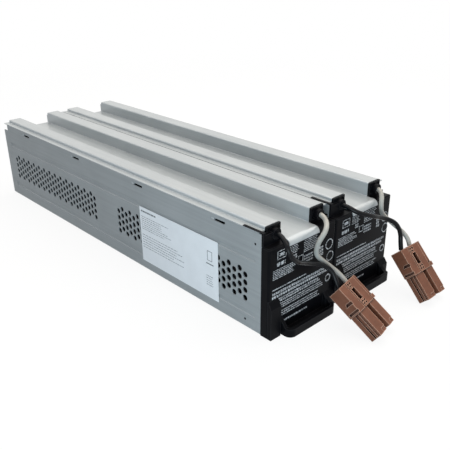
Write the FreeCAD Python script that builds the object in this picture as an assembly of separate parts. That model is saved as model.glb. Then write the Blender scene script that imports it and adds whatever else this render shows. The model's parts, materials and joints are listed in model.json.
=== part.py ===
import FreeCAD, Part
import math
import os

os.makedirs("parts", exist_ok=True)
Vector = FreeCAD.Vector

# Driving dimensions in millimetres
STEEL = 1.2
SHEET = 1.0
BEND_RADIUS = 0.8
BLOCK_COUNT = 8
BLOCK_WIDTH = 90.0
BLOCK_PITCH = 70.0
BLOCK_HEIGHT = 101.0
BLOCK_GAP = 0.4
BLOCK_PLAY = 0.5
DECK_GAP = 0.6
LINER_THICKNESS = 0.8
PAD_THICKNESS = 10.7
PAD_DROP = 18.0
SIDE_ROOM = 6.75
MODULE_GAP = 0.5
RAIL_HEIGHT = 16.5
RAIL_WIDTH = 20.2
LEDGE_WIDTH = 8.3
LEDGE_DROP = 3.9
LIP_RADIUS = 6.5
LIP_REACH = 12.0
COVER_FRONT = 3.6
COVER_END_SPACE = 4.0
FACE_DEPTH = 10.7
PLASTIC = 2.5
HANDLE_REACH = 27.0
HANDLE_HEIGHT = 9.5
HANDLE_BAR = 4.0
HANDLE_FLOOR = 2.0
HANDLE_INSET = 17.0
HANDLE_SIDE = 10.0
CHEEK_DEPTH = 4.3
VENT_SIZE = 6.4
VENT_ROW_PITCH = 9.2
VENT_ROWS = 4
VENT_COLUMNS = 29
VENT_SIDES = 8
VENT_FIRST = 22.5
VENT_END_SPACE = 30.0
VENT_MIDDLE_GAP = 58.5
SLOT_COUNT = 4
SLOT_LENGTH = 22.0
SLOT_HEIGHT = 2.8
SLOT_FIRST = 51.8
SLOT_END_SPACE = 64.1
NIB_LENGTH = 5.0
LEAD_DIAMETER = 5.2
LEAD_RISE = 9.6
HOOD_RADIUS = 5.8
TAB_WIDTH = 3.2
TAB_LENGTH = 26.0
PLUG_WIDTH = 38.0
PLUG_HEIGHT = 16.0
PLUG_LENGTH = 62.0
PLUG_BODY_LENGTH = 31.4
BLADE_THICKNESS = 0.8
BLADE_WIDTH = 6.4
BLADE_HEIGHT = 6.6
LABEL_THICKNESS = 0.2
LABEL_FRONT = 63.5
LABEL_REAR = 205.0
LABEL_LOW = 11.5
LABEL_DROP = 18.0

# Levels and places worked out from them
MODULE_WIDTH = BLOCK_WIDTH + 2 * SIDE_ROOM
FLOOR_TOP = STEEL
BLOCK_FLOOR = FLOOR_TOP + LINER_THICKNESS
LID_TOP = BLOCK_FLOOR + BLOCK_HEIGHT
DECK_TOP = LID_TOP + DECK_GAP + SHEET
RAIL_TOP = DECK_TOP + RAIL_HEIGHT
LEDGE_TOP = RAIL_TOP - LEDGE_DROP
WALL_TOP = LEDGE_TOP - SHEET
BLOCK_FRONT = BLOCK_PLAY
ROW_END = BLOCK_FRONT + BLOCK_COUNT * BLOCK_PITCH - BLOCK_GAP
REAR_INSIDE = ROW_END + PAD_THICKNESS
TRAY_LENGTH = REAR_INSIDE + STEEL
MID_X = MODULE_WIDTH / 2
BLOCK_LEFT = SIDE_ROOM
PAD_TOP = LID_TOP - PAD_DROP
LABEL_TOP = LID_TOP - LABEL_DROP
LEFT_RAIL_X = LEDGE_WIDTH + RAIL_WIDTH / 2
RIGHT_RAIL_X = MODULE_WIDTH - LEFT_RAIL_X
LEAD_LEVEL = LID_TOP + LEAD_RISE
MODULE_PITCH = MODULE_WIDTH + MODULE_GAP
CENTRE_X = (MODULE_PITCH + MODULE_WIDTH - LABEL_THICKNESS) / 2
CENTRE_Y = (TRAY_LENGTH - HANDLE_REACH) / 2
LEAD_RADIUS = LEAD_DIAMETER / 2
CLEARANCE = 0.3


def box(x0, x1, y0, y1, z0, z1):
    return Part.makeBox(x1 - x0, y1 - y0, z1 - z0, Vector(x0, y0, z0))


def fuse(shapes):
    body = shapes[0].fuse(shapes[1:])
    return body.removeSplitter()


def prism(points, sweep):
    corners = [Vector(*point) for point in points]
    face = Part.Face(Part.makePolygon(corners + corners[:1]))
    return face.extrude(Vector(*sweep))


def across(points, x0, x1):
    return prism([(x0, y, z) for y, z in points], (x1 - x0, 0, 0))


def rod(radius, start, end):
    axis = Vector(*end) - Vector(*start)
    return Part.makeCylinder(radius, axis.Length, Vector(*start), axis)


# Folded sheet: a line of points, its thickness and its bends
def shifted(points, thickness):
    sides = []
    for (x0, z0), (x1, z1) in zip(points, points[1:]):
        length = math.hypot(x1 - x0, z1 - z0)
        sides.append((-(z1 - z0) / length * thickness, (x1 - x0) / length * thickness))
    moved = [(points[0][0] + sides[0][0], points[0][1] + sides[0][1])]
    for (x, z), before, after in zip(points[1:-1], sides, sides[1:]):
        scale = thickness ** 2 / (thickness ** 2 + before[0] * after[0] + before[1] * after[1])
        moved.append((x + (before[0] + after[0]) * scale, z + (before[1] + after[1]) * scale))
    moved.append((points[-1][0] + sides[-1][0], points[-1][1] + sides[-1][1]))
    return moved


def bent_line(points, radii):
    edges = []
    last = points[0]
    for before, corner, after, radius in zip(points, points[1:], points[2:], radii):
        into = (corner - before).normalize()
        out = (after - corner).normalize()
        turn = into.getAngle(out)
        setback = radius * math.tan(turn / 2)
        start = corner - into * setback
        end = corner + out * setback
        inward = (out - into).normalize()
        middle = corner + inward * (radius / math.cos(turn / 2) - radius)
        edges.append(Part.LineSegment(last, start).toShape())
        edges.append(Part.Arc(start, middle, end).toShape())
        last = end
    edges.append(Part.LineSegment(last, points[-1]).toShape())
    return edges


def folded_sheet(points, thickness, plane, sweep):
    size = abs(thickness)
    near = []
    far = []
    for (ax, az), (bx, bz), (cx, cz) in zip(points, points[1:], points[2:]):
        turns_left = (bx - ax) * (cz - bz) - (bz - az) * (cx - bx) > 0
        inside = turns_left == (thickness > 0)
        near.append(BEND_RADIUS + size if inside else BEND_RADIUS)
        far.append(BEND_RADIUS if inside else BEND_RADIUS + size)
    first = [plane(x, z) for x, z in points]
    second = [plane(x, z) for x, z in shifted(points, thickness)]
    edges = bent_line(first, near)
    edges.append(Part.LineSegment(first[-1], second[-1]).toShape())
    edges += bent_line(second[::-1], far[::-1])
    edges.append(Part.LineSegment(second[0], first[0]).toShape())
    return Part.Face(Part.Wire(edges)).extrude(sweep)


# Steel tray
BEAD_DEPTH = 0.8
BEAD_WIDTH = 6.4
BEAD_DROP = 20.5
BEAD_LEVELS = (17.0, LID_TOP - BEAD_DROP)
BEAD_FRONT = 8.0
BEAD_END_SPACE = 17.0
BEAD_REAR = TRAY_LENGTH - BEAD_END_SPACE
SLOT_PITCH = (TRAY_LENGTH - SLOT_FIRST - SLOT_LENGTH - SLOT_END_SPACE) / (SLOT_COUNT - 1)
SLOT_DROP = 6.6
SLOT_FLOOR = WALL_TOP - SLOT_DROP
REAR_FLAP_TOP = LID_TOP + 0.4
NOTCH_RISE = 3.6
NOTCH_LEVEL = REAR_FLAP_TOP + NOTCH_RISE
NOTCH_LENGTH = 12.0
FRONT_NOTCH_LENGTH = 8.0
VENT_GROUP_LENGTH = (TRAY_LENGTH - VENT_END_SPACE - VENT_FIRST - VENT_MIDDLE_GAP) / 2
VENT_GROUP_STARTS = (VENT_FIRST, VENT_FIRST + VENT_GROUP_LENGTH + VENT_MIDDLE_GAP)
VENT_COLUMN_PITCH = VENT_GROUP_LENGTH / (VENT_COLUMNS - 1)
VENT_BOTTOM = LID_TOP / 2 + CLEARANCE - 1.75 * VENT_ROW_PITCH
PEG_LOW = (22.3, 10.0)
PEG_HIGH = (8.2, LID_TOP + 0.3)
LOW_PEG_RADIUS = 1.4
HIGH_PEG_RADIUS = 1.25
PEG_PLAY = 0.1
PAST = 1.0


def vents():
    cutters = []
    for start in VENT_GROUP_STARTS:
        for column in range(VENT_COLUMNS):
            y = start + column * VENT_COLUMN_PITCH
            if LABEL_FRONT + VENT_SIZE / 2 < y < LABEL_REAR - VENT_SIZE / 2:
                continue
            lift = VENT_ROW_PITCH / 2 * (column % 2)
            for row in range(VENT_ROWS):
                z = VENT_BOTTOM + lift + row * VENT_ROW_PITCH
                corners = []
                for corner in range(VENT_SIDES):
                    angle = (corner + 0.5) * 2 * math.pi / VENT_SIDES
                    corners.append((y + VENT_SIZE / 2 * math.cos(angle), z + VENT_SIZE / 2 * math.sin(angle)))
                cutters.append(across(corners, -PAST, STEEL + CLEARANCE))
    return cutters


def bead(bottom, top, surface):
    inner = surface + BEAD_DEPTH
    mouth = ring(surface, BEAD_FRONT, BEAD_REAR, bottom, top)
    crest = ring(inner, BEAD_FRONT + BEAD_DEPTH, BEAD_REAR - BEAD_DEPTH, bottom + BEAD_DEPTH, top - BEAD_DEPTH)
    return Part.makeLoft([mouth, crest], True)


def ring(x, y0, y1, z0, z1):
    corners = [Vector(x, y0, z0), Vector(x, y1, z0), Vector(x, y1, z1), Vector(x, y0, z1)]
    return Part.makePolygon(corners + corners[:1])


def mirrored(shape):
    return shape.mirror(Vector(MID_X, 0, 0), Vector(1, 0, 0))


def tray(with_vents):
    outline = [(0, WALL_TOP), (0, 0), (MODULE_WIDTH, 0), (MODULE_WIDTH, WALL_TOP)]
    trough = folded_sheet(outline, STEEL, lambda x, z: Vector(x, 0, z), Vector(0, TRAY_LENGTH, 0))
    flap = box(STEEL + 0.2, MODULE_WIDTH - STEEL - 0.2, REAR_INSIDE, TRAY_LENGTH, 0, REAR_FLAP_TOP)
    ridges = []
    cuts = []
    for level in BEAD_LEVELS:
        ridge = bead(level, level + BEAD_WIDTH, STEEL)
        groove = bead(level, level + BEAD_WIDTH, 0)
        ridges += [ridge, mirrored(ridge)]
        cuts += [groove, mirrored(groove)]
    left = -PAST
    right = MODULE_WIDTH + PAST
    above = WALL_TOP + PAST
    for number in range(SLOT_COUNT):
        y = SLOT_FIRST + number * SLOT_PITCH
        cuts.append(box(left, right, y, y + SLOT_LENGTH, SLOT_FLOOR, SLOT_FLOOR + SLOT_HEIGHT))
    cuts.append(box(left, right, TRAY_LENGTH - NOTCH_LENGTH, TRAY_LENGTH + PAST, NOTCH_LEVEL, above))
    cuts.append(box(MODULE_WIDTH - 2 * STEEL, right, -PAST, FRONT_NOTCH_LENGTH, LID_TOP - 0.5, above))
    for x in (left, MODULE_WIDTH - STEEL - PAST):
        for (y, z), radius in ((PEG_LOW, LOW_PEG_RADIUS), (PEG_HIGH, HIGH_PEG_RADIUS)):
            cuts.append(rod(radius + PEG_PLAY, (x, y, z), (x + STEEL + 2 * PAST, y, z)))
    if with_vents:
        cuts += vents()
    return fuse([trough, flap] + ridges).cut(Part.makeCompound(cuts))


# Steel top cover with two rails, ledges, hooks and a curled lip
COVER_REAR = TRAY_LENGTH - COVER_END_SPACE
RAIL_LEFT_OUT = LEDGE_WIDTH
RAIL_LEFT_IN = LEDGE_WIDTH + RAIL_WIDTH
RAIL_RIGHT_IN = MODULE_WIDTH - RAIL_LEFT_IN
RAIL_RIGHT_OUT = MODULE_WIDTH - RAIL_LEFT_OUT
LEDGE_INSET = 0.4


def top_cover():
    outline = [
        (LEDGE_INSET, LEDGE_TOP), (RAIL_LEFT_OUT, LEDGE_TOP), (RAIL_LEFT_OUT, RAIL_TOP),
        (RAIL_LEFT_IN, RAIL_TOP), (RAIL_LEFT_IN, DECK_TOP), (RAIL_RIGHT_IN, DECK_TOP),
        (RAIL_RIGHT_IN, RAIL_TOP), (RAIL_RIGHT_OUT, RAIL_TOP), (RAIL_RIGHT_OUT, LEDGE_TOP),
        (MODULE_WIDTH - LEDGE_INSET, LEDGE_TOP)]
    length = REAR_INSIDE - COVER_FRONT
    sheet = folded_sheet(outline, -SHEET, lambda x, z: Vector(x, COVER_FRONT, z), Vector(0, length, 0))
    above_ledges = box(0, MODULE_WIDTH, COVER_REAR, TRAY_LENGTH, LEDGE_TOP, RAIL_TOP + 1)
    pieces = [sheet.cut(above_ledges), lip()]
    for left, right in ((RAIL_LEFT_OUT, RAIL_LEFT_IN), (RAIL_RIGHT_IN, RAIL_RIGHT_OUT)):
        pieces.append(box(left + SHEET / 2, right - SHEET / 2, COVER_REAR - SHEET, COVER_REAR,
                          DECK_TOP, RAIL_TOP - SHEET / 2))
    for number in range(SLOT_COUNT):
        hook = cover_hook(SLOT_FIRST + number * SLOT_PITCH + SLOT_LENGTH)
        pieces += [hook, mirrored(hook)]
    return fuse(pieces)


def lip():
    bend = -(LIP_REACH - LIP_RADIUS)
    low = DECK_TOP - LIP_RADIUS
    half = math.sqrt(0.5)
    inner = LIP_RADIUS - SHEET
    outer_mid = Vector(0, bend - LIP_RADIUS * half, low + LIP_RADIUS * half)
    inner_mid = Vector(0, bend - inner * half, low + inner * half)
    back = COVER_FRONT + 1
    edges = [
        Part.LineSegment(Vector(0, back, DECK_TOP), Vector(0, bend, DECK_TOP)).toShape(),
        Part.Arc(Vector(0, bend, DECK_TOP), outer_mid, Vector(0, bend - LIP_RADIUS, low)).toShape(),
        Part.LineSegment(Vector(0, bend - LIP_RADIUS, low), Vector(0, bend - inner, low)).toShape(),
        Part.Arc(Vector(0, bend - inner, low), inner_mid, Vector(0, bend, DECK_TOP - SHEET)).toShape(),
        Part.LineSegment(Vector(0, bend, DECK_TOP - SHEET), Vector(0, back, DECK_TOP - SHEET)).toShape(),
        Part.LineSegment(Vector(0, back, DECK_TOP - SHEET), Vector(0, back, DECK_TOP)).toShape()]
    left = RAIL_LEFT_IN + CLEARANCE
    strip = Part.Face(Part.Wire(edges)).extrude(Vector(RAIL_RIGHT_IN - CLEARANCE - left, 0, 0))
    strip.translate(Vector(left, 0, 0))
    return strip


def cover_hook(slot_end):
    rear = slot_end - CLEARANCE
    front = slot_end - NIB_LENGTH
    low = SLOT_FLOOR + CLEARANCE
    inside = STEEL + 0.1
    leg = box(inside, inside + SHEET, front, rear, low, LEDGE_TOP - SHEET / 2)
    nib = box(0.2, inside + SHEET / 2, front, rear, low, SLOT_FLOOR + SLOT_HEIGHT - CLEARANCE)
    return leg.fuse(nib)


# Moulded front cover with its handle
FACE_Y = -FACE_DEPTH
CHEEK_Y = FACE_Y - CHEEK_DEPTH
COVER_BACK = -CLEARANCE
CORNER_RADIUS = 2.5
TOP_EDGE = 1.2
LEFT_CHEEK_WIDTH = 15.0
RIGHT_CHEEK_WIDTH = 15.5
LEFT_CHEEK = (0.0, LEFT_CHEEK_WIDTH, 36.0, 44.0)
RIGHT_CHEEK = (MODULE_WIDTH - RIGHT_CHEEK_WIDTH, MODULE_WIDTH, 14.0, 20.0)
HANDLE_LEFT = HANDLE_INSET
HANDLE_RIGHT = MODULE_WIDTH - HANDLE_SIDE
HANDLE_CORNER = 8.0
GUSSET_HEIGHT = 20.0
GUSSET_REACH = 8.5
TONGUE = 2.0
TONGUE_DROP = 9.0
TONGUE_RISE = 3.0
RIB_HALF = 1.0


def front_cover():
    block = box(0, MODULE_WIDTH, FACE_Y, COVER_BACK, 0, LID_TOP)
    corners = [edge for edge in block.Edges if is_upright(edge) and edge.CenterOfMass.y < FACE_Y + 0.1]
    block = block.makeFillet(CORNER_RADIUS, corners)
    top = [edge for edge in block.Edges
           if edge.CenterOfMass.z > LID_TOP - 0.1 and edge.CenterOfMass.y < COVER_BACK - 0.1]
    block = block.makeChamfer(TOP_EDGE, top)
    hollow = box(PLASTIC, MODULE_WIDTH - PLASTIC, FACE_Y + PLASTIC, 1, PLASTIC, LID_TOP - PLASTIC)
    pieces = [block.cut(hollow), handle()]
    for left, right, shoulder, top_level in (LEFT_CHEEK, RIGHT_CHEEK):
        profile = [(FACE_Y + 1, 0), (CHEEK_Y, 0), (CHEEK_Y, shoulder), (FACE_Y, top_level),
                   (FACE_Y + 1, top_level)]
        pieces.append(across(profile, left, right))
    for share in (0.25, 0.5, 0.75):
        x = share * MODULE_WIDTH
        pieces.append(box(x - RIB_HALF, x + RIB_HALF, FACE_Y + 1, BLOCK_FRONT, PLASTIC - 1,
                          LID_TOP - PLASTIC + 0.5))
    for tongue in tongues():
        pieces += [tongue, mirrored(tongue)]
    cover = fuse(pieces)
    return cover.cut(lip_relief()).cut(high_corner())


def is_upright(edge):
    return abs(edge.tangentAt(edge.FirstParameter).z) > 0.99


def lip_relief():
    bend = -(LIP_REACH - LIP_RADIUS)
    low = DECK_TOP - LIP_RADIUS
    radius = LIP_RADIUS - SHEET - CLEARANCE
    left = RAIL_LEFT_IN - CLEARANCE
    right = RAIL_RIGHT_IN + CLEARANCE
    corner = box(left, right, FACE_Y - 1, bend, low, LID_TOP + 1)
    return corner.cut(rod(radius, (left - 1, bend, low), (right + 1, bend, low)))


def high_corner():
    return box(MODULE_WIDTH - PLASTIC, MODULE_WIDTH + 1, FACE_Y + PLASTIC, 1, LID_TOP - 0.7, LID_TOP + 1)


def tongues():
    inside = STEEL + 0.1
    parts = []
    for (y, z), reach, low, high, radius in (
            (PEG_LOW, 5.0, PLASTIC + CLEARANCE, BEAD_LEVELS[0] - 1, LOW_PEG_RADIUS),
            (PEG_HIGH, 4.0, LID_TOP - TONGUE_DROP, LID_TOP + TONGUE_RISE, HIGH_PEG_RADIUS)):
        blade = box(inside, inside + TONGUE, CLEARANCE, y + reach, low, high)
        root = box(inside, inside + TONGUE, COVER_BACK - 3, CLEARANCE, low, min(high, LID_TOP - 1))
        peg = rod(radius, (inside + 0.5, y, z), (0.2, y, z))
        parts.append(fuse([blade, root, peg]))
    return parts


def handle():
    outer = plan_block(HANDLE_LEFT, HANDLE_RIGHT, -HANDLE_REACH, HANDLE_CORNER)
    inner = plan_block(HANDLE_LEFT + HANDLE_BAR, HANDLE_RIGHT - HANDLE_BAR, -HANDLE_REACH + HANDLE_BAR,
                       HANDLE_CORNER - HANDLE_BAR)
    inner.translate(Vector(0, 0, HANDLE_FLOOR))
    pieces = [outer.cut(inner)]
    front = FACE_Y - GUSSET_REACH
    gusset = [(FACE_Y + 1, HANDLE_HEIGHT - 1), (FACE_Y + 1, GUSSET_HEIGHT), (FACE_Y, GUSSET_HEIGHT),
              (front, HANDLE_HEIGHT), (front, HANDLE_HEIGHT - 1)]
    pieces.append(across(gusset, HANDLE_LEFT, HANDLE_LEFT + HANDLE_BAR))
    pieces.append(across(gusset, HANDLE_RIGHT - HANDLE_BAR, HANDLE_RIGHT))
    return fuse(pieces)


def plan_block(left, right, front, radius):
    block = box(left, right, front, FACE_Y + 1, 0, HANDLE_HEIGHT)
    corners = [edge for edge in block.Edges if is_upright(edge) and edge.CenterOfMass.y < front + 0.1]
    return block.makeFillet(radius, corners)


# Plastic caps that close the rails and grip the leads
CAP_BACK = COVER_FRONT - 0.2
CAP_FRONT = CAP_BACK - 2.2
CAP_FLOOR = LID_TOP + 0.2
CAP_TOP = RAIL_TOP - 0.4
CAP_FRAME = 1.6
CAP_RECESS = 1.0
SHOULDER_FRONT = -2.5
SHOULDER_BACK = -0.2
SHOULDER_TOP = LEDGE_TOP - 2.0
TAB_THICKNESS = 0.9
SPIGOT_REAR = 14.0
HOOD_FRONT = SHOULDER_FRONT - 1.4


def lead_cap(x, left, right, has_shoulder):
    room = SHEET + CLEARANCE
    plate = box(left, right, CAP_FRONT, CAP_BACK, CAP_FLOOR, CAP_TOP)
    recess = box(left + CAP_FRAME, right - CAP_FRAME, CAP_FRONT - PAST, CAP_FRONT + CAP_RECESS,
                 LEAD_LEVEL - HOOD_RADIUS, CAP_TOP - CAP_FRAME)
    pieces = [
        plate.cut(recess),
        box(left + room, right - room, CAP_BACK - 0.5, SPIGOT_REAR, LID_TOP + 2, RAIL_TOP - room),
        rod(HOOD_RADIUS, (x, HOOD_FRONT, LEAD_LEVEL), (x, CAP_BACK - 0.5, LEAD_LEVEL))]
    if has_shoulder:
        inside = STEEL + TONGUE + 0.4
        pieces += [
            box(inside, x + HOOD_RADIUS, SHOULDER_FRONT, CAP_FRONT + CAP_RECESS, CAP_FLOOR, SHOULDER_TOP),
            box(0, inside + 1, SHOULDER_FRONT, SHOULDER_BACK, CAP_FLOOR, SHOULDER_TOP),
            box(0, TAB_WIDTH, SHOULDER_FRONT, SHOULDER_BACK, SHOULDER_TOP - 1, LEDGE_TOP + TAB_THICKNESS),
            box(0, TAB_WIDTH, SHOULDER_BACK - 1, TAB_LENGTH, LEDGE_TOP, LEDGE_TOP + TAB_THICKNESS)]
    return fuse(pieces).cut(rod(LEAD_RADIUS, (x, HOOD_FRONT - 1, LEAD_LEVEL), (x, SPIGOT_REAR + 1, LEAD_LEVEL)))


# Inner pieces
STRAP_THICKNESS = 1.2
BAR_WIDTH = 6.0
BAR_X = RIGHT_RAIL_X - BAR_WIDTH
BAR_REAR = COVER_REAR - SHEET - BLOCK_PLAY
BAR_FRONT = 20.0
CRIMP_WIDTH = 3.6
CRIMP_REAR = 24.0
LUG_LAP = 5.0
LUG_LIFT = 0.4
LID_RISE = 6.0
LID_STEP = 0.5


def block_front(number):
    return BLOCK_FRONT + number * BLOCK_PITCH


def battery(number):
    front = block_front(number)
    rear = front + BLOCK_PITCH - BLOCK_GAP
    right = BLOCK_LEFT + BLOCK_WIDTH
    shoulder = LID_TOP - LID_RISE
    body = box(BLOCK_LEFT, right, front, rear, BLOCK_FLOOR, shoulder)
    lid = box(BLOCK_LEFT + LID_STEP, right - LID_STEP, front + LID_STEP, rear - LID_STEP, shoulder, LID_TOP)
    return fuse([body, lid])


def block_middle(number):
    return block_front(number) + (BLOCK_PITCH - BLOCK_GAP) / 2


def battery_terminals():
    blades = []
    for number in range(BLOCK_COUNT):
        y = block_middle(number)
        for x in (LEFT_RAIL_X, RIGHT_RAIL_X):
            blades.append(box(x - BLADE_THICKNESS / 2, x + BLADE_THICKNESS / 2, y - BLADE_WIDTH / 2,
                              y + BLADE_WIDTH / 2, LID_TOP, LID_TOP + BLADE_HEIGHT))
    return Part.makeCompound(blades)


def link_straps():
    straps = []
    for number in range(BLOCK_COUNT - 1):
        side = (RIGHT_RAIL_X if number % 2 == 0 else LEFT_RAIL_X) + BLADE_THICKNESS / 2
        start = block_middle(number) - BLADE_WIDTH / 2
        end = block_middle(number + 1) + BLADE_WIDTH / 2
        straps.append(box(side, side + STRAP_THICKNESS, start, end, LID_TOP, LID_TOP + BLADE_HEIGHT))
    return Part.makeCompound(straps)


def return_bar():
    left = LEFT_RAIL_X + BLADE_THICKNESS / 2
    right = left + STRAP_THICKNESS
    turn = BAR_REAR - BAR_WIDTH
    top = LID_TOP + BAR_WIDTH
    last = block_middle(BLOCK_COUNT - 1)
    return fuse([
        box(left, right, last - BLADE_WIDTH / 2, BAR_REAR, LID_TOP, top),
        box(left, right, turn, BAR_REAR, PAD_TOP, top),
        box(left, BAR_X, turn, BAR_REAR, PAD_TOP, PAD_TOP + STRAP_THICKNESS),
        box(BAR_X - STRAP_THICKNESS, BAR_X, turn, BAR_REAR, PAD_TOP, top),
        box(BAR_X - STRAP_THICKNESS, BAR_X, BAR_FRONT, BAR_REAR, LID_TOP, top)])


def crimp(x, rear):
    half = CRIMP_WIDTH / 2
    return box(x - half, x + half, 0, rear, LEAD_LEVEL - half, LEAD_LEVEL + half)


def lead_lugs():
    blade_side = LEFT_RAIL_X - BLADE_THICKNESS / 2
    blade_rear = block_middle(0) + BLADE_WIDTH / 2
    low = LID_TOP + LUG_LIFT
    lap = (BAR_FRONT - LUG_LAP, BAR_FRONT + LUG_LAP)
    black = fuse([
        crimp(LEFT_RAIL_X, CRIMP_REAR),
        box(blade_side - STRAP_THICKNESS, blade_side, CRIMP_REAR - LUG_LAP, blade_rear, low, LEAD_LEVEL)])
    grey = fuse([
        crimp(RIGHT_RAIL_X, BAR_FRONT),
        box(BAR_X, RIGHT_RAIL_X, *lap, LEAD_LEVEL - CRIMP_WIDTH / 2, LEAD_LEVEL),
        box(BAR_X, BAR_X + STRAP_THICKNESS, *lap, low, LEAD_LEVEL - 1)])
    return Part.makeCompound([black, grey])


def base_liner():
    edge = STEEL + BEND_RADIUS + 1
    return box(edge, MODULE_WIDTH - edge, BLOCK_FRONT, REAR_INSIDE, FLOOR_TOP, BLOCK_FLOOR)


def rear_pad():
    return box(BLOCK_LEFT + 1, BLOCK_LEFT + BLOCK_WIDTH - 1, ROW_END, REAR_INSIDE, BLOCK_FLOOR, PAD_TOP)


def side_label():
    return box(-LABEL_THICKNESS, 0, LABEL_FRONT, LABEL_REAR, LABEL_LOW, LABEL_TOP)


# Plug leads: route points by hand, from the place where each leaves its cap
PLUG_POSES = {
    "left": {"sideways": 10.55, "ahead": 39.3, "yaw": 11.3, "pitch": 36.8},
    "right": {"sideways": 16.45, "ahead": 40.0, "yaw": -0.6, "pitch": 47.2}}
TIP_LEVEL = 0.3
WIRE_PLACES = {"black": 10.5, "grey": 27.5}
WIRE_LEVEL = PLUG_HEIGHT / 2
ROUTES = {
    "left_black": [
        (0, 0, 0), (0, -10.5, 0), (-4.3, -20.8, -5.5), (-3.5, -27.1, -16.2), (7.2, -29.6, -29.2),
        (21.1, -20.4, -33.4), (33.3, -18.3, -40.5), (46.1, -21.3, -44.5), (53.6, -29.4, -51.5)],
    "left_grey": [
        (0, 0, 0), (0, -10.5, 0), (-5.6, -19.2, -1.6), (-17.6, -24.7, -6.2), (-25.8, -23.1, -17.7),
        (-23.7, -18.6, -33.2), (-9.6, -19, -43), (-0.5, -20.9, -51.7)],
    "right_black": [
        (0, 0, 0), (0, -10.5, 0), (4.6, -21.2, -5.3), (19.8, -27.9, -12.3), (35.7, -23.3, -16.3),
        (46.6, -25.4, -22), (54.4, -33.7, -24.8), (61.5, -37.4, -33.2), (63.8, -36.5, -44.5)],
    "right_grey": [
        (0, 0, 0), (0, -10.5, 0), (-4.3, -19, -4.5), (-10, -22.6, -12.5), (-11.2, -23, -22.9),
        (-5.8, -25.3, -33.8), (5.2, -27.7, -38.8), (10.8, -34.5, -45.4)]}
LAST_RUN = 9.0


def plug_axes(side):
    pose = PLUG_POSES[side]
    yaw = math.radians(pose["yaw"])
    pitch = math.radians(pose["pitch"])
    corner = Vector(MID_X + pose["sideways"], -pose["ahead"], PLUG_LENGTH * math.sin(pitch) + TIP_LEVEL)
    sideways = Vector(math.cos(yaw), math.sin(yaw), 0)
    level = Vector(math.sin(yaw), -math.cos(yaw), 0)
    forward = level * math.cos(pitch) - Vector(0, 0, math.sin(pitch))
    return corner, forward, sideways, forward.cross(sideways)


def lead_points(side, colour):
    corner, forward, sideways, up = plug_axes(side)
    entry = corner + sideways * WIRE_PLACES[colour] + up * WIRE_LEVEL
    outlet = Vector(LEFT_RAIL_X if colour == "black" else RIGHT_RAIL_X, 0, LEAD_LEVEL)
    points = [outlet + Vector(*step) for step in ROUTES[side + "_" + colour]]
    return points + [entry - forward * LAST_RUN, entry]


def lead(side, colour):
    points = lead_points(side, colour)
    edges = []
    last = points[0]
    radii = []
    for before, corner, after in zip(points, points[1:], points[2:]):
        into = corner - before
        out = after - corner
        half_turn = into.getAngle(out) / 2
        setback = 0.45 * min(into.Length, out.Length)
        into.normalize()
        out.normalize()
        radius = setback / math.tan(half_turn)
        radii.append(radius)
        start = corner - into * setback
        end = corner + out * setback
        middle = corner + (out - into).normalize() * (radius / math.cos(half_turn) - radius)
        edges.append(Part.LineSegment(last, start).toShape())
        edges.append(Part.Arc(start, middle, end).toShape())
        last = end
    edges.append(Part.LineSegment(last, points[-1]).toShape())
    path = Part.Wire(edges)
    section = Part.Wire(Part.Circle(points[0], points[1] - points[0], LEAD_RADIUS).toShape())
    tube = path.makePipeShell([section], True, False)
    share = tube.Volume / (math.pi * LEAD_RADIUS ** 2 * path.Length)
    print(side, colour, "length", round(path.Length, 1), "least radius", round(min(radii), 1),
          "radii", [round(radius) for radius in radii], "volume share", round(share, 3))
    return tube


# Two-pole plug: x across, y from the tip at the front to 0 at the rear, z up, before it is posed
PRONGS = ((2.0, 17.0), (24.0, 36.2))
PRONG_FLOOR = 6.5
PRONG_TOP = PLUG_HEIGHT - 1.5
CAVITY_WALL = 2.0
CAVITY_FLOOR = 8.0
CAVITY_ROOF = PRONG_TOP - 1.6
CAVITY_DEPTH = 3.0
SEAM_WIDTH = 1.0
SEAM_DEPTH = 1.0
PANEL_MIDDLE = PLUG_WIDTH * 0.47
LEFT_SEAM = PLUG_WIDTH * 0.32
RIGHT_SEAM = PLUG_WIDTH * 0.84
EDGE_DROP = 1.8
EDGE_LENGTH = 26.5
WINDOW_DEPTH = 2.0
LONG_WINDOW = (-3.0, 3.0, 9.0, 22.5)
SMALL_WINDOWS = (
    (-3.2, -0.7, 2.2, 4.4), (0.7, 3.2, 2.2, 4.4), (-3.2, 1.8, 5.6, 6.8),
    (-3.2, -0.7, 24.4, 26.2), (0.7, 3.2, 24.4, 26.2), (-3.2, -0.7, 27.4, 29.2), (0.7, 3.2, 27.4, 29.2))
TIP_STEP = 4.5
TIP_STEP_DEPTH = 0.75
SIDE_NOTCH = (17.0, 20.0, 9.0, 6.0)
SIDE_NOTCH_DEPTH = 1.5
SIDE_RECESS = (27.0, 29.5, 2.5)
SIDE_RECESS_DEPTH = 1.2
RIB_LEVEL = 10.4
RIB_HEIGHT = 1.2
RIB_OUT = 0.7
TONGUE_INSET = 1.0
SLIT_LENGTH = 16.0
CONTACT_SETBACK = 4.0
CONTACT_THICKNESS = 1.6


def plug_box(left, right, behind, ahead, low, high):
    return box(left, right, -ahead, -behind, low, high)


def wire_bore(place, behind, ahead):
    return rod(LEAD_RADIUS, (place, -behind, WIRE_LEVEL), (place, -ahead, WIRE_LEVEL))


def side_notches():
    above = PLUG_HEIGHT + PAST
    behind, ahead, shallow, deep = SIDE_NOTCH
    slanted = [(-behind, above), (-ahead, above), (-ahead, deep), (-behind, shallow)]
    behind, ahead, low = SIDE_RECESS
    return [
        across(slanted, -PAST, SIDE_NOTCH_DEPTH),
        plug_box(-PAST, SIDE_RECESS_DEPTH, behind, ahead, low, above)]


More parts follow.
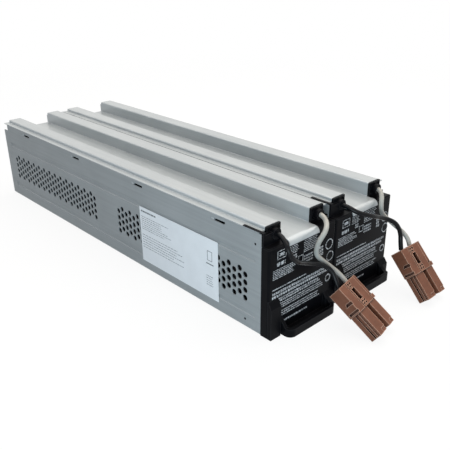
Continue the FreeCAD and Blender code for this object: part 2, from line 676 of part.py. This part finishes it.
def top_windows():
    above = PLUG_HEIGHT + PAST
    left, right, behind, ahead = LONG_WINDOW
    cuts = [plug_box(PANEL_MIDDLE + left, PANEL_MIDDLE + right, behind, ahead,
                     PLUG_HEIGHT - 2 * WINDOW_DEPTH, above)]
    for left, right, behind, ahead in SMALL_WINDOWS:
        cuts.append(plug_box(PANEL_MIDDLE + left, PANEL_MIDDLE + right, behind, ahead,
                             PLUG_HEIGHT - WINDOW_DEPTH, above))
    return cuts


def connector_housing():
    body = plug_box(0, PLUG_WIDTH, 0, PLUG_BODY_LENGTH, 0, PLUG_HEIGHT)
    tongue = plug_box(TONGUE_INSET, PLUG_WIDTH - 2 * TONGUE_INSET, PLUG_BODY_LENGTH - 1, PLUG_LENGTH,
                      TONGUE_INSET / 2, PRONG_FLOOR)
    prong_left = PRONGS[0][0]
    rib = plug_box(prong_left - RIB_OUT, prong_left + 0.3, PLUG_BODY_LENGTH - 1, PLUG_LENGTH - 1,
                   RIB_LEVEL, RIB_LEVEL + RIB_HEIGHT)
    pieces = [body.cut(Part.makeCompound(side_notches())), tongue, rib]
    cuts = top_windows()
    above = PLUG_HEIGHT + PAST
    for left, right in PRONGS:
        pieces.append(plug_box(left, right, PLUG_BODY_LENGTH - 1, PLUG_LENGTH, PRONG_FLOOR - 1, PRONG_TOP))
        cuts.append(plug_box(left + CAVITY_WALL, right - CAVITY_WALL, PLUG_BODY_LENGTH - CAVITY_DEPTH,
                             PLUG_LENGTH + PAST, CAVITY_FLOOR, CAVITY_ROOF))
        cuts.append(plug_box((left + right) / 2, right + 0.5, PLUG_LENGTH - TIP_STEP, PLUG_LENGTH + PAST,
                             PRONG_TOP - TIP_STEP_DEPTH, above))
    for place in WIRE_PLACES.values():
        cuts.append(wire_bore(place, -PAST, PLUG_BODY_LENGTH - 2))
    cuts.append(plug_box(-PAST, prong_left + 1, PLUG_LENGTH - SLIT_LENGTH, PLUG_LENGTH + PAST,
                         PRONG_FLOOR, PRONG_FLOOR + 1))
    cuts.append(plug_box(RIGHT_SEAM + SEAM_WIDTH, PLUG_WIDTH + PAST, -PAST, EDGE_LENGTH,
                         PLUG_HEIGHT - EDGE_DROP, above))
    for seam, depth in ((LEFT_SEAM, SEAM_DEPTH), (RIGHT_SEAM, EDGE_DROP + SEAM_DEPTH)):
        cuts.append(plug_box(seam, seam + SEAM_WIDTH, -PAST, PLUG_BODY_LENGTH + PAST,
                             PLUG_HEIGHT - depth, above))
    return fuse(pieces).cut(Part.makeCompound(cuts))


def connector_contacts():
    contacts = []
    half = CRIMP_WIDTH / 2
    for place, (left, right) in zip(WIRE_PLACES.values(), PRONGS):
        barrel = plug_box(place - half, place + half, 0, PLUG_BODY_LENGTH - 2,
                          WIRE_LEVEL - half, WIRE_LEVEL + half)
        blade = plug_box(left + CAVITY_WALL + 1, right - CAVITY_WALL - 1, PLUG_BODY_LENGTH - CAVITY_DEPTH,
                         PLUG_LENGTH - CONTACT_SETBACK, CAVITY_FLOOR, CAVITY_FLOOR + CONTACT_THICKNESS)
        contacts.append(fuse([barrel, blade]))
    return Part.makeCompound(contacts)


def posed(shape, side):
    corner, forward, sideways, up = plug_axes(side)
    matrix = FreeCAD.Matrix(
        sideways.x, -forward.x, up.x, corner.x,
        sideways.y, -forward.y, up.y, corner.y,
        sideways.z, -forward.z, up.z, corner.z,
        0, 0, 0, 1)
    moved = shape.copy()
    moved.Placement = FreeCAD.Placement(matrix)
    return moved


# Write every piece in the row's frame
def write(name, shape, module_x=0.0):
    placed = shape.copy()
    placed.translate(Vector(module_x - CENTRE_X, -CENTRE_Y, 0))
    placed.exportStep("parts/" + name + ".step")
    print(name, "solids", len(placed.Solids), "valid", placed.isValid(), "volume", round(placed.Volume))


def build_module(side, module_x):
    pieces = {
        "tray": tray(with_vents=side == "left"),
        "top_cover": top_cover(),
        "front_cover": front_cover(),
        "black_lead_cap": lead_cap(LEFT_RAIL_X, RAIL_LEFT_OUT, RAIL_LEFT_IN, True),
        "grey_lead_cap": lead_cap(RIGHT_RAIL_X, RAIL_RIGHT_IN, RAIL_RIGHT_OUT, False),
        "battery_terminals": battery_terminals(),
        "link_straps": link_straps(),
        "return_bar": return_bar(),
        "lead_lugs": lead_lugs(),
        "base_liner": base_liner(),
        "rear_pad": rear_pad(),
        "black_lead": lead(side, "black"),
        "grey_lead": lead(side, "grey"),
        "connector_housing": posed(connector_housing(), side),
        "connector_contacts": posed(connector_contacts(), side)}
    for number in range(BLOCK_COUNT):
        pieces["battery_" + str(number + 1)] = battery(number)
    for name, shape in pieces.items():
        write(side + "_" + name, shape, module_x)


build_module("left", 0.0)
build_module("right", MODULE_PITCH)
write("side_label", side_label())
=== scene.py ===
import json
import math
import random

import bmesh
import bpy
from mathutils import Matrix, Vector


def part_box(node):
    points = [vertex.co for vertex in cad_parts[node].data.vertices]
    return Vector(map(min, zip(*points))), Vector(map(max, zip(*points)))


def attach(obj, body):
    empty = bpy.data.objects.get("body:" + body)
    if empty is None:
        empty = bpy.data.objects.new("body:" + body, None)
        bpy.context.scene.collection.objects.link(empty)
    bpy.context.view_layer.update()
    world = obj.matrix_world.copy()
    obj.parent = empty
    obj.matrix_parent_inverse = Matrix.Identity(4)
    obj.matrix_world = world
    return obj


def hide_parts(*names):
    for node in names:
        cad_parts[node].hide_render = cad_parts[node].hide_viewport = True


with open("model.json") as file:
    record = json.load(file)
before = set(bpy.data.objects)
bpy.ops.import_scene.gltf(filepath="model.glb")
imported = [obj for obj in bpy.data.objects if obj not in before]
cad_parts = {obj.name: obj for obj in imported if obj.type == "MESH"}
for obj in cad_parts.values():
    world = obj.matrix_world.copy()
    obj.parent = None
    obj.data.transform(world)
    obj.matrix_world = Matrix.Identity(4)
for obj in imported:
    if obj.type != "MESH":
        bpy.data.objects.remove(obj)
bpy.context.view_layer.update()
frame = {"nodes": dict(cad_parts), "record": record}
nodes = frame["nodes"]

# Each module's corner in the scene: its left wall, the steel's front edge and its underside
SIDES = ("left", "right")
ORIGIN = {side: Vector(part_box(side + "_tray")[0]) for side in SIDES}

# Sizes in millimetres, measured from that corner
MM = 0.001
MODULE_WIDTH = (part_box("left_tray")[1][0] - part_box("left_tray")[0][0]) / MM
STEEL = 1.2
FACE_Y = -10.7
FACE_PRINT_LIFT = 0.04
LABEL_THICKNESS = 0.2
LABEL_REAR = 205
LABEL_PRINT_LIFT = 0.03
VENT_RADIUS = 3.45
VENT_SEGMENTS = 20
VENT_CUT_DEPTH = 6
VENT_ROWS = 4
VENT_COLUMNS = 29
VENT_STARTS = (22.5, 311.5)
VENT_GROUP_LENGTH = 230.5
VENT_COLUMN_PITCH = VENT_GROUP_LENGTH / (VENT_COLUMNS - 1)
VENT_ROW_PITCH = 9.2
VENT_BOTTOM = 35.7

# Random draws for the print: its word widths and ragged line ends
RNG = random.Random(11)


def at(side, x, y, z):
    return ORIGIN[side] + Vector((x, y, z)) * MM


def add_object(name, data, material):
    piece = bpy.data.objects.new(name, data)
    bpy.context.scene.collection.objects.link(piece)
    data.materials.clear()
    data.materials.append(material)
    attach(piece, "root")
    return piece


# Shading: nodes that the materials, the floor and the sky share
EVEN = (1, 1, 1)
STREAKED = (60, 1.5, 60)
BRUSHED = (30, 3, 30)
WHITE = (1.0, 1.0, 1.0)


class Nodes:
    def __init__(self, tree):
        self.tree = tree

    def add(self, kind, **settings):
        node = self.tree.nodes.new(kind)
        for key, value in settings.items():
            setattr(node, key, value)
        return node

    def link(self, source, target):
        self.tree.links.new(source, target)

    def place(self, stretch):
        coordinates = self.add("ShaderNodeTexCoord")
        mapping = self.add("ShaderNodeMapping")
        mapping.inputs["Scale"].default_value = stretch
        self.link(coordinates.outputs["Object"], mapping.inputs["Vector"])
        return mapping.outputs["Vector"]

    def noise(self, stretch, scale, detail):
        texture = self.add("ShaderNodeTexNoise")
        texture.inputs["Scale"].default_value = scale
        texture.inputs["Detail"].default_value = detail
        self.link(self.place(stretch), texture.inputs["Vector"])
        return texture.outputs["Fac"]

    def ramp(self, source, stops):
        ramp = self.add("ShaderNodeValToRGB")
        for element, (position, color) in zip(ramp.color_ramp.elements, stops):
            element.position = position
            element.color = (*color, 1.0)
        self.link(source, ramp.inputs["Fac"])
        return ramp.outputs["Color"]

    def spread(self, source, low, high, start=0.0, end=1.0):
        spread = self.add("ShaderNodeMapRange")
        spread.inputs["From Min"].default_value = start
        spread.inputs["From Max"].default_value = end
        spread.inputs["To Min"].default_value = low
        spread.inputs["To Max"].default_value = high
        self.link(source, spread.inputs["Value"])
        return spread.outputs["Result"]

    def blend(self, factor, first, second):
        mix = self.add("ShaderNodeMix", data_type="RGBA")
        self.link(factor, mix.inputs["Factor"])
        self.link(first, mix.inputs["A"])
        mix.inputs["B"].default_value = (*second, 1.0)
        return mix.outputs["Result"]

    # One where a surface is looked at, directly or as a mirror image, and nought where it only lights others
    def looked_at(self):
        path = self.add("ShaderNodeLightPath")
        seen = path.outputs["Is Camera Ray"]
        for kind in ("Is Glossy Ray", "Is Transmission Ray"):
            either = self.add("ShaderNodeMath", operation="MAXIMUM")
            self.link(seen, either.inputs[0])
            self.link(path.outputs[kind], either.inputs[1])
            seen = either.outputs["Value"]
        return seen


class Shader(Nodes):
    def __init__(self, name):
        self.material = bpy.data.materials.new(name)
        self.material.use_nodes = True
        super().__init__(self.material.node_tree)
        self.surface = self.tree.nodes["Principled BSDF"]

    # One on an outer edge, where the rounded normal turns away from the flat one; it places a painted
    # highlight
    def edges(self, reach, flat=0.995, full=0.93):
        rounded = self.add("ShaderNodeBevel", samples=6)
        rounded.inputs["Radius"].default_value = reach
        plain = self.add("ShaderNodeNewGeometry")
        turn = self.add("ShaderNodeVectorMath", operation="DOT_PRODUCT")
        self.link(rounded.outputs["Normal"], turn.inputs[0])
        self.link(plain.outputs["Normal"], turn.inputs[1])
        return self.spread(turn.outputs["Value"], 0.0, 1.0, flat, full)

    # One in a corner or a hollow of the piece itself; it places painted shade
    def recesses(self, reach, open_share=0.88, closed_share=0.6):
        closed = self.add("ShaderNodeAmbientOcclusion", samples=12, only_local=True)
        closed.inputs["Distance"].default_value = reach
        return self.spread(closed.outputs["AO"], 0.0, 1.0, open_share, closed_share)

    def mixed(self, factor, first, second):
        mix = self.add("ShaderNodeMixShader")
        self.link(factor, mix.inputs["Fac"])
        self.link(first, mix.inputs[1])
        self.link(second, mix.inputs[2])
        return mix.outputs["Shader"]

    def bump(self, height, distance, strength):
        bump = self.add("ShaderNodeBump")
        bump.inputs["Distance"].default_value = distance
        bump.inputs["Strength"].default_value = strength
        self.link(height, bump.inputs["Height"])
        self.link(bump.outputs["Normal"], self.surface.inputs["Normal"])


# Materials
def sheet_metal(name, dark, light, metallic, rough, shine=0.5, cloud_share=0.55):
    shader = Shader(name)
    mix = shader.add("ShaderNodeMix", data_type="FLOAT")
    mix.inputs["Factor"].default_value = cloud_share
    shader.link(shader.noise(STREAKED, 6.0, 6.0), mix.inputs["A"])
    shader.link(shader.noise(EVEN, 14.0, 5.0), mix.inputs["B"])
    pattern = mix.outputs["Result"]
    shader.link(shader.ramp(pattern, [(0.3, dark), (0.7, light)]), shader.surface.inputs["Base Color"])
    shader.link(shader.spread(pattern, *rough), shader.surface.inputs["Roughness"])
    shader.surface.inputs["Metallic"].default_value = metallic
    shader.surface.inputs["Specular IOR Level"].default_value = shine
    shader.bump(shader.noise(BRUSHED, 6.0, 3.0), 0.0001, 0.2)
    return shader.material


def moulded(name, dark, light, rough, grain=900.0, depth=0.00004, shine=0.5, coat=0.0,
            edge_highlight=None, highlight_reach=0.0009, recess_shade=None, shade_reach=0.004):
    shader = Shader(name)
    clouds = shader.noise(EVEN, 60.0, 5.0)
    color = shader.ramp(clouds, [(0.3, dark), (0.75, light)])
    # Painted highlight: outer edges blend towards a lighter fixed colour, standing in for glints on rounded
    # edges
    if edge_highlight:
        color = shader.blend(shader.edges(highlight_reach), color, edge_highlight)
    # Painted shade: corners and hollows blend towards a dark fixed colour, standing in for the shade that
    # falls there
    if recess_shade:
        color = shader.blend(shader.recesses(shade_reach), color, recess_shade)
    shader.link(color, shader.surface.inputs["Base Color"])
    shader.link(shader.spread(clouds, *rough), shader.surface.inputs["Roughness"])
    shader.surface.inputs["Specular IOR Level"].default_value = shine
    shader.surface.inputs["Coat Weight"].default_value = coat
    shader.bump(shader.noise(EVEN, grain, 2.0), depth, 0.4)
    return shader.material


def printed(name, thin, full, grain):
    shader = Shader(name)
    specks = shader.noise(EVEN, grain, 2.0)
    shader.link(shader.ramp(specks, [(0.4, thin), (0.58, full)]), shader.surface.inputs["Base Color"])
    shader.surface.inputs["Roughness"].default_value = 0.6
    shader.surface.inputs["Specular IOR Level"].default_value = 0.2
    return shader.material


# Each has its dark and light colour and its range of roughness
MATERIALS = {
    "zinc_steel": sheet_metal(
        "zinc_sheet", (0.3, 0.31, 0.31), (0.39, 0.4, 0.4), 0.2, (0.36, 0.48), shine=0.2),
    "pale_steel": sheet_metal(
        "pale_sheet", (0.415, 0.44, 0.45), (0.505, 0.525, 0.53), 0.33, (0.24, 0.36), shine=0.2),
    "tin_plate": sheet_metal(
        "tin_plated", (0.55, 0.54, 0.5), (0.7, 0.69, 0.64), 0.9, (0.25, 0.4)),
    # The black and brown mouldings carry a painted highlight on their edges
    "black_plastic": moulded(
        "black_moulding", (0.003, 0.003, 0.004), (0.006, 0.006, 0.007), (0.28, 0.42),
        shine=0.04, edge_highlight=(0.022, 0.022, 0.024)),
    # The brown moulding also carries painted shade in its corners and hollows
    "brown_plastic": moulded(
        "brown_moulding", (0.14, 0.052, 0.028), (0.21, 0.08, 0.045), (0.34, 0.46),
        shine=0.2, edge_highlight=(0.48, 0.28, 0.2), highlight_reach=0.0014, recess_shade=(0.02, 0.006, 0.004)),
    "black_cable": moulded(
        "black_jacket", (0.003, 0.003, 0.004), (0.006, 0.007, 0.008), (0.2, 0.28), shine=0.14),
    "grey_cable": moulded(
        "grey_jacket", (0.36, 0.345, 0.31), (0.48, 0.46, 0.42), (0.38, 0.5), shine=0.3),
    "red_sleeve": moulded(
        "red_sleeving", (0.3, 0.02, 0.015), (0.42, 0.03, 0.02), (0.4, 0.5)),
    "liner_sheet": moulded(
        "liner", (0.6, 0.59, 0.55), (0.72, 0.71, 0.67), (0.5, 0.6)),
    "foam": moulded(
        "foam_grey", (0.03, 0.03, 0.03), (0.06, 0.06, 0.06), (0.85, 0.95), grain=1500.0, depth=0.0003),
    "block_case": moulded(
        "block_grey", (0.005, 0.005, 0.006), (0.01, 0.01, 0.011), (0.5, 0.65), shine=0.05),
    "label_film": moulded(
        "label_white", (0.9, 0.88, 0.88), (0.96, 0.94, 0.94), (0.25, 0.35),
        grain=2200.0, depth=0.00001, coat=1.0),
    "grey_ink": moulded(
        "grey_ink", (0.1, 0.1, 0.11), (0.17, 0.17, 0.18), (0.5, 0.6), grain=3000.0, depth=0.00001),
    "print_ink": printed("pale_ink", (0.08, 0.08, 0.08), (0.75, 0.75, 0.76), 1100.0)}


# Carried-over solids: a finish on each
def finish_nodes():
    for entry in frame["record"]["subparts"]:
        piece = nodes[entry["node"]]
        material = MATERIALS[entry["material_slot"]]
        if not piece.material_slots:
            piece.data.materials.append(material)
        for holder in piece.material_slots:
            holder.material = material


# Trays with round vents, both cut from the right tray's mesh, which has none of its own
def vent_cutter(side, wall_x):
    mesh = bpy.data.meshes.new("vents")
    build = bmesh.new()
    through_wall = Matrix.Rotation(math.pi / 2, 4, "Y")
    for start in VENT_STARTS:
        for column in range(VENT_COLUMNS):
            y = start + column * VENT_COLUMN_PITCH
            lift = VENT_ROW_PITCH / 2 * (column % 2)
            for row in range(VENT_ROWS):
                centre = at(side, wall_x, y, VENT_BOTTOM + lift + row * VENT_ROW_PITCH)
                bmesh.ops.create_cone(
                    build, cap_ends=True, segments=VENT_SEGMENTS, radius1=VENT_RADIUS * MM,
                    radius2=VENT_RADIUS * MM, depth=VENT_CUT_DEPTH * MM,
                    matrix=Matrix.Translation(centre) @ through_wall)
    build.to_mesh(mesh)
    build.free()
    cutter = bpy.data.objects.new("vents", mesh)
    bpy.context.scene.collection.objects.link(cutter)
    return cutter


def vented_tray(side):
    mesh = nodes["right_tray"].data.copy()
    mesh.transform(nodes["right_tray"].matrix_world)
    mesh.transform(Matrix.Translation(ORIGIN[side] - ORIGIN["right"]))
    blank = bpy.data.objects.new("blank", mesh)
    bpy.context.scene.collection.objects.link(blank)
    cutter = vent_cutter(side, STEEL / 2 if side == "left" else MODULE_WIDTH - STEEL / 2)
    cut = blank.modifiers.new("vents", "BOOLEAN")
    cut.operation = "DIFFERENCE"
    cut.solver = "EXACT"
    cut.object = cutter
    bpy.context.view_layer.update()
    made = bpy.data.meshes.new_from_object(blank.evaluated_get(bpy.context.evaluated_depsgraph_get()))
    bpy.data.objects.remove(blank)
    bpy.data.objects.remove(cutter)
    piece = add_object(side + "_vented_tray", made, MATERIALS["zinc_steel"])
    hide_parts(side + "_tray")


# Print: thin fields of unreadable marks, placed in millimetres along and up a plane
class Print:
    def __init__(self, side, plane):
        self.side = side
        self.plane = plane
        self.build = bmesh.new()

    def corner(self, along, z):
        return self.build.verts.new(self.plane(self.side, along, z))

    def patch(self, a0, a1, z0, z1):
        corners = [(a0, z0), (a1, z0), (a1, z1), (a0, z1)]
        self.build.faces.new([self.corner(along, z) for along, z in corners])

    def frame(self, a0, a1, z0, z1, width):
        self.patch(a0, a1, z0, z0 + width)
        self.patch(a0, a1, z1 - width, z1)
        self.patch(a0, a0 + width, z0 + width, z1 - width)
        self.patch(a1 - width, a1, z0 + width, z1 - width)

    def ring(self, a, z, radius, width, count=24):
        turns = [2 * math.pi * step / count for step in range(count)]
        inside = radius - width
        outer = [self.corner(a + radius * math.cos(turn), z + radius * math.sin(turn)) for turn in turns]
        inner = [self.corner(a + inside * math.cos(turn), z + inside * math.sin(turn)) for turn in turns]
        for step in range(count):
            after = (step + 1) % count
            self.build.faces.new([outer[step], outer[after], inner[after], inner[step]])

    def lines(self, a0, a1, z0, z1, count, fill=0.55, word=(0.8, 3.2), gap=0.5, ragged=0.25):
        pitch = (z1 - z0) / count
        for line in range(count):
            low = z1 - (line + 1) * pitch + pitch * (1 - fill) / 2
            end = a1 - RNG.uniform(0, ragged) * (a1 - a0)
            place = a0
            while place < end:
                width = min(RNG.uniform(*word), end - place)
                self.patch(place, place + width, low, low + pitch * fill)
                place += width + gap

    def finish(self, name, ink):
        mesh = bpy.data.meshes.new(name)
        self.build.to_mesh(mesh)
        self.build.free()
        add_object(name, mesh, MATERIALS[ink])


def front_plane(side, x, z):
    return at(side, x, FACE_Y - FACE_PRINT_LIFT, z)


# Each field of lines has its span along and up, then its count, fill, word widths, gap and raggedness
def front_print(side):
    marks = Print(side, front_plane)
    marks.frame(12, 25, 88, 97.5, 0.8)
    marks.patch(15, 22, 91, 94.5)
    marks.lines(11.5, 24, 80.5, 85, 1, 0.9, (3.0, 5.0), 1.2, 0.0)
    marks.lines(29, 44, 87, 96.5, 5, 0.5)
    marks.lines(52, 77, 82, 96.5, 7, 0.5)
    marks.lines(35.5, 41.5, 80.5, 86, 2, 0.75, (1.6, 2.4), 0.6, 0.0)
    marks.frame(43.5, 51.5, 73, 81, 0.9)
    marks.lines(6, 41.5, 66.5, 78, 6, 0.5)
    marks.lines(53, 68, 69, 79, 3, 0.6, (1.2, 3.0), 0.6, 0.1)
    marks.lines(77.5, 84.5, 68, 80, 3, 0.8, (2.0, 4.0), 0.8, 0.2)
    marks.ring(94, 77.5, 6.2, 1.1)
    marks.ring(96.5, 62.5, 6.0, 1.1)
    marks.lines(5.5, 60, 53.5, 57, 1, 0.35, (2.0, 5.0), 0.5, 0.1)
    marks.lines(5.5, 97, 44.5, 52.5, 2, 0.7, (1.2, 3.4), 0.7, 0.05)
    marks.lines(5.5, 84, 38, 43.5, 2, 0.7, (1.0, 3.0), 0.7, 0.1)
    marks.ring(95, 36, 4.7, 1.6)
    marks.lines(13, 87.5, 29.5, 37, 3, 0.5, (1.0, 3.6), 0.5, 0.12)
    marks.lines(13, 85, 19.5, 27.5, 3, 0.5, (1.0, 3.6), 0.5, 0.2)
    marks.lines(18, 61.5, 11.5, 14, 1, 0.8, (1.5, 4.0), 0.4, 0.0)
    marks.finish(side + "_front_print", "print_ink")


# The label is read from its rear end, so its marks are placed from there
def label_plane(side, from_rear, z):
    return at(side, -LABEL_THICKNESS - LABEL_PRINT_LIFT, LABEL_REAR - from_rear, z)


def label_print():
    marks = Print("left", label_plane)
    marks.lines(3, 35, 78.5, 81, 1, 0.8, (2.0, 5.0), 0.8, 0.1)
    marks.lines(3, 62, 55, 74, 7, 0.22, (2.0, 6.0), 1.0, 0.5)
    marks.lines(3, 84, 30, 50, 6, 0.2, (2.0, 6.0), 1.0, 0.35)
    marks.frame(124, 132, 58, 70, 0.7)
    marks.patch(122, 134, 53.5, 54.8)
    marks.lines(122, 133, 26, 40, 5, 0.3, (1.0, 3.0), 0.8, 0.2)
    marks.finish("label_print", "grey_ink")


# Leads: route points, in millimetres from where each leaves its cap
OUTLETS = {"black": Vector((18.4, 0, 112.6)), "grey": Vector((85.1, 0, 112.6))}
ROUTES = {
    "left_black": [
        (0, 0, 0), (0, -9, 0), (-5, -20.5, -4.6), (-5.4, -25.8, -14), (4.5, -26.6, -25.2),
        (21.6, -21.3, -34.2), (35, -19.5, -40.2), (47.8, -22.8, -44.5), (55.5, -31.2, -51.5),
        (56.3, -36.7, -61.8)],
    "left_grey": [
        (0, 0, 0), (0, -6.5, 0), (-7.1, -18.2, -2.4), (-17.5, -25, -6.7), (-26.6, -22.6, -18.2),
        (-23.8, -18.7, -33.4), (-10.9, -19.3, -45.5), (-0.9, -22.5, -54.9), (4.3, -31.7, -62.7)],
    "right_black": [
        (0, 0, 0), (0, -10, 0), (4.6, -21.5, -5.8), (20.5, -28.4, -11.9), (38.1, -27.5, -19.1),
        (49.8, -30.1, -24), (55.5, -36.7, -27.8), (61.6, -39.3, -36.2), (65.1, -40.4, -45.8),
        (62.8, -42.7, -54.2)],
    "right_grey": [
        (0, 0, 0), (0, -6, 0), (-7.4, -14.5, -2.7), (-13.3, -18.2, -11.3), (-13.3, -19.6, -21.3),
        (-5.1, -23.9, -30), (5.6, -29.5, -40.9), (10.9, -36.3, -48), (12.7, -43, -55.4)]}
PLUG_POSES = {
    "left": {"sideways": 10.55, "ahead": 39.3, "yaw": 11.3, "pitch": 36.8},
    "right": {"sideways": 16.45, "ahead": 40.0, "yaw": -0.6, "pitch": 47.2}}
PLUG_LENGTH = 62.0
TIP_LEVEL = 0.3
WIRE_PLACES = {"black": 10.5, "grey": 27.5}
WIRE_LEVEL = 8.0

# The leads' thickness is in metres
LEAD_DIAMETER = 0.0052


def plug_entry(side, colour):
    pose = PLUG_POSES[side]
    yaw = math.radians(pose["yaw"])
    pitch = math.radians(pose["pitch"])
    rise = PLUG_LENGTH * math.sin(pitch) + TIP_LEVEL
    corner = Vector((MODULE_WIDTH / 2 + pose["sideways"], -pose["ahead"], rise))
    sideways = Vector((math.cos(yaw), math.sin(yaw), 0))
    level = Vector((math.sin(yaw), -math.cos(yaw), 0))
    forward = level * math.cos(pitch) - Vector((0, 0, math.sin(pitch)))
    return corner + sideways * WIRE_PLACES[colour] + forward.cross(sideways) * WIRE_LEVEL


def lead(side, colour):
    name = side + "_" + colour
    points = [OUTLETS[colour] + Vector(step) for step in ROUTES[name]] + [plug_entry(side, colour)]
    places = [at(side, *point) for point in points]
    curve = bpy.data.curves.new(name + "_cable", "CURVE")
    curve.dimensions = "3D"
    curve.bevel_depth = LEAD_DIAMETER / 2
    curve.bevel_resolution = 6
    curve.resolution_u = 12
    curve.use_fill_caps = True
    spline = curve.splines.new("NURBS")
    spline.points.add(len(places) - 1)
    for point, place in zip(spline.points, places):
        point.co = (*place, 1.0)
    spline.order_u = 3
    spline.use_endpoint_u = True
    piece = add_object(name + "_cable", curve, MATERIALS[colour + "_cable"])
    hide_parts(name + "_lead")


# Stage and light, in metres
FLOOR_HALF_SIZE = 6.0
FLOOR_DROP = 0.0005
FLOOR_COLOR = (0.24, 0.29, 0.33, 1)
PALE_FLOOR = (0.88, 0.88, 0.88, 1)
NEAR_WHITE_SHARE = 0.9
FADE_START = 0.6
FADE_END = 1.6
SKY_AXIS = (0.45, 0.1, 0.89)
SKY_STOPS = [(0.1, (0.035, 0.1, 0.17)), (0.9, (0.9, 0.86, 0.8))]

# Camera, in millimetres from the left module's corner
SENSOR_WIDTH = 36.0
LENS = 48.33
CAMERA_FORWARD = (0.6136, 0.6696, -0.4185)
CAMERA_RIGHT = (0.7334, -0.6797, -0.0121)
CAMERA_FROM_CORNER = (-379.9, -362.7, 368.6)


# The floor lights the object as a grey one, looks nearly white by it and fades to white far off
def floor_material():
    shader = Shader("floor_white")
    shader.surface.inputs["Base Color"].default_value = FLOOR_COLOR
    shader.surface.inputs["Roughness"].default_value = 1.0
    shader.surface.inputs["Specular IOR Level"].default_value = 0.0
    pale = shader.add("ShaderNodeBsdfDiffuse")
    pale.inputs["Color"].default_value = PALE_FLOOR
    glow = shader.add("ShaderNodeEmission")
    glow.inputs["Color"].default_value = (*WHITE, 1.0)
    away = shader.add("ShaderNodeVectorMath", operation="LENGTH")
    shader.link(shader.place(EVEN), away.inputs[0])
    fade = shader.spread(away.outputs["Value"], NEAR_WHITE_SHARE, 1.0, FADE_START, FADE_END)
    white = shader.mixed(fade, pale.outputs["BSDF"], glow.outputs["Emission"])
    whole = shader.mixed(shader.looked_at(), shader.surface.outputs["BSDF"], white)
    shader.link(whole, shader.tree.nodes["Material Output"].inputs["Surface"])
    return shader.material


def stage():
    mesh = bpy.data.meshes.new("floor")
    build = bmesh.new()
    bmesh.ops.create_grid(build, x_segments=1, y_segments=1, size=FLOOR_HALF_SIZE)
    build.to_mesh(mesh)
    build.free()
    mesh.materials.append(floor_material())
    floor = bpy.data.objects.new("floor", mesh)
    floor.location.z = -FLOOR_DROP
    bpy.context.scene.collection.objects.link(floor)


def world_light():
    world = bpy.data.worlds.new("studio")
    bpy.context.scene.world = world
    world.use_nodes = True
    sky = Nodes(world.node_tree)
    coordinates = sky.add("ShaderNodeTexCoord")
    toward = sky.add("ShaderNodeVectorMath", operation="DOT_PRODUCT")
    toward.inputs[1].default_value = SKY_AXIS
    sky.link(coordinates.outputs["Generated"], toward.inputs[0])
    color = sky.blend(sky.looked_at(), sky.ramp(toward.outputs["Value"], SKY_STOPS), WHITE)
    sky.link(color, sky.tree.nodes["Background"].inputs["Color"])


def area_light(name, place, target, size, power, color):
    light = bpy.data.lights.new(name, "AREA")
    light.shape = "RECTANGLE"
    light.size = size[0]
    light.size_y = size[1]
    light.energy = power
    light.color = color
    lamp = bpy.data.objects.new(name, light)
    lamp.location = place
    lamp.rotation_euler = (Vector(target) - Vector(place)).to_track_quat("-Z", "Y").to_euler()
    bpy.context.scene.collection.objects.link(lamp)


def camera():
    data = bpy.data.cameras.new("camera")
    data.sensor_width = SENSOR_WIDTH
    data.lens = LENS
    data.clip_start = 0.01
    view = bpy.data.objects.new("camera", data)
    forward = Vector(CAMERA_FORWARD).normalized()
    right = Vector(CAMERA_RIGHT).normalized()
    up = right.cross(forward)
    turn = Matrix((right, up, -forward)).transposed()
    view.matrix_world = Matrix.Translation(at("left", *CAMERA_FROM_CORNER)) @ turn.to_4x4()
    bpy.context.scene.collection.objects.link(view)
    bpy.context.scene.camera = view


finish_nodes()
for side in SIDES:
    vented_tray(side)
    front_print(side)
    for colour in WIRE_PLACES:
        lead(side, colour)
label_print()
stage()
world_light()
area_light("top_soft", place=(0.4, -0.1, 1.5), target=(0, 0, 0), size=(2.2, 2.2), power=27,
           color=(1.0, 0.96, 0.9))
area_light("front_soft", place=(-0.5, -0.65, 0.12), target=(-0.05, -0.25, 0.05), size=(0.5, 0.3), power=2.8,
           color=(0.74, 0.9, 1.0))
area_light("edge_soft", place=(-0.95, 1.55, 1.45), target=(0, 0, 0.1), size=(0.9, 0.9), power=3,
           color=WHITE)
camera()
bpy.context.scene.view_settings.view_transform = "Standard"
